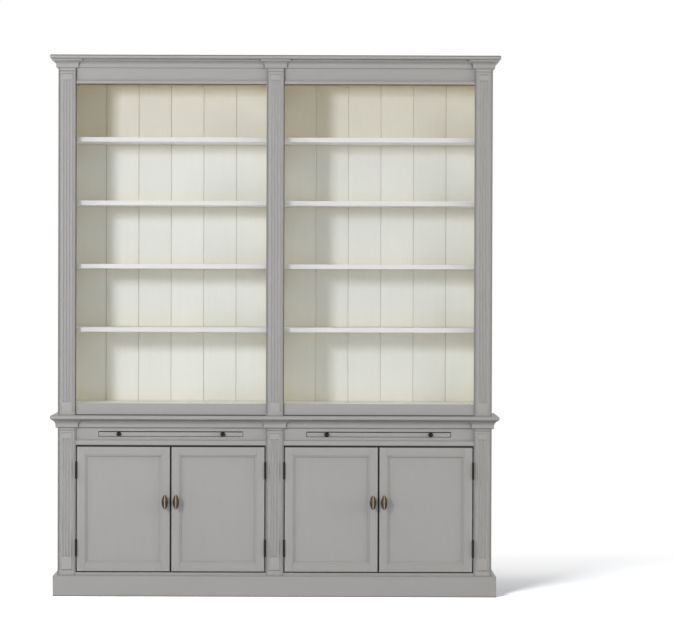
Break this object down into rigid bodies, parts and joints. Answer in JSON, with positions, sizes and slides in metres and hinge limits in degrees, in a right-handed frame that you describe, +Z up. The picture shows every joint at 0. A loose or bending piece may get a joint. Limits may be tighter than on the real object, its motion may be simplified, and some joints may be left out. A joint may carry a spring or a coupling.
{
  "type": "bookcase with cabinet doors",
  "caption": "Wide painted breakfront bookcase: open shelved bays with boarded backs, fluted pilasters and a cornice, on a panelled-door base with pull-out slides.",
  "frame": {"origin": "on the floor, under the middle of the overall box", "axes": "+X to the right seen from the front, +Y from the front to the back, +Z up"},
  "size_m": [1.994, 0.464, 2.3985],
  "materials": {
    "grey_paint": "warm grey eggshell paint, brushed, on timber",
    "cream_paint": "pale cream eggshell paint on timber",
    "aged_bronze": "aged dark bronze with worn highlights",
    "steel": "plated steel",
    "bare_wood": "plain beech, unfinished"
  },
  "bodies": {
    "cabinet": {"plinth": "grey_paint", "base_sides": "grey_paint", "base_partition": "cream_paint", "base_floor": "cream_paint", "base_back": "cream_paint", "base_pilaster_left": "grey_paint", "base_pilaster_centre": "grey_paint", "base_pilaster_right": "grey_paint", "base_rails": "grey_paint", "base_friezes": "grey_paint", "door_stops": "bare_wood", "door_catches": "steel", "slide_guides": "bare_wood", "cupboard_shelves": "cream_paint", "waist_slab": "grey_paint", "waist_moulding": "grey_paint", "hinge_fixed_leaves": "aged_bronze", "hinge_pins": "aged_bronze", "upper_sides": "grey_paint", "upper_partition": "cream_paint", "upper_floor": "cream_paint", "upper_top": "cream_paint", "back_boards_left": "cream_paint", "back_boards_right": "cream_paint", "upper_pilaster_left": "grey_paint", "upper_pilaster_centre": "grey_paint", "upper_pilaster_right": "grey_paint", "upper_rails": "grey_paint", "upper_friezes": "grey_paint", "cornice_moulding": "grey_paint", "cornice_cap": "grey_paint", "shelves_left": "cream_paint", "shelves_right": "cream_paint", "shelf_pins": "steel", "locating_dowels": "bare_wood"},
    "door_1": {"door_1_frame": "grey_paint", "door_1_panel": "grey_paint", "door_1_bead": "grey_paint", "door_1_knob": "aged_bronze", "door_1_fittings": "aged_bronze"},
    "door_2": {"door_2_frame": "grey_paint", "door_2_panel": "grey_paint", "door_2_bead": "grey_paint", "door_2_knob": "aged_bronze", "door_2_fittings": "aged_bronze"},
    "door_3": {"door_3_frame": "grey_paint", "door_3_panel": "grey_paint", "door_3_bead": "grey_paint", "door_3_knob": "aged_bronze", "door_3_fittings": "aged_bronze"},
    "door_4": {"door_4_frame": "grey_paint", "door_4_panel": "grey_paint", "door_4_bead": "grey_paint", "door_4_knob": "aged_bronze", "door_4_fittings": "aged_bronze"},
    "slide_left": {"slide_left_board": "grey_paint", "slide_left_knobs": "aged_bronze"},
    "slide_right": {"slide_right_board": "grey_paint", "slide_right_knobs": "aged_bronze"}
  },
  "joints": [
    {"name": "door_1_hinge", "type": "hinge", "parent": "cabinet", "child": "door_1", "pos_m": [-0.88, -0.1871, 0.387], "axis": [0, 0, -1], "range_deg": [0, 175]},
    {"name": "door_2_hinge", "type": "hinge", "parent": "cabinet", "child": "door_2", "pos_m": [-0.042, -0.1871, 0.387], "axis": [0, 0, 1], "range_deg": [0, 87]},
    {"name": "door_3_hinge", "type": "hinge", "parent": "cabinet", "child": "door_3", "pos_m": [0.042, -0.1871, 0.387], "axis": [0, 0, -1], "range_deg": [0, 87]},
    {"name": "door_4_hinge", "type": "hinge", "parent": "cabinet", "child": "door_4", "pos_m": [0.88, -0.1871, 0.387], "axis": [0, 0, 1], "range_deg": [0, 175]},
    {"name": "slide_left_travel", "type": "slide", "parent": "cabinet", "child": "slide_left", "axis": [0, -1, 0], "range_m": [0, 0.3]},
    {"name": "slide_right_travel", "type": "slide", "parent": "cabinet", "child": "slide_right", "axis": [0, -1, 0], "range_m": [0, 0.3]}
  ]
}
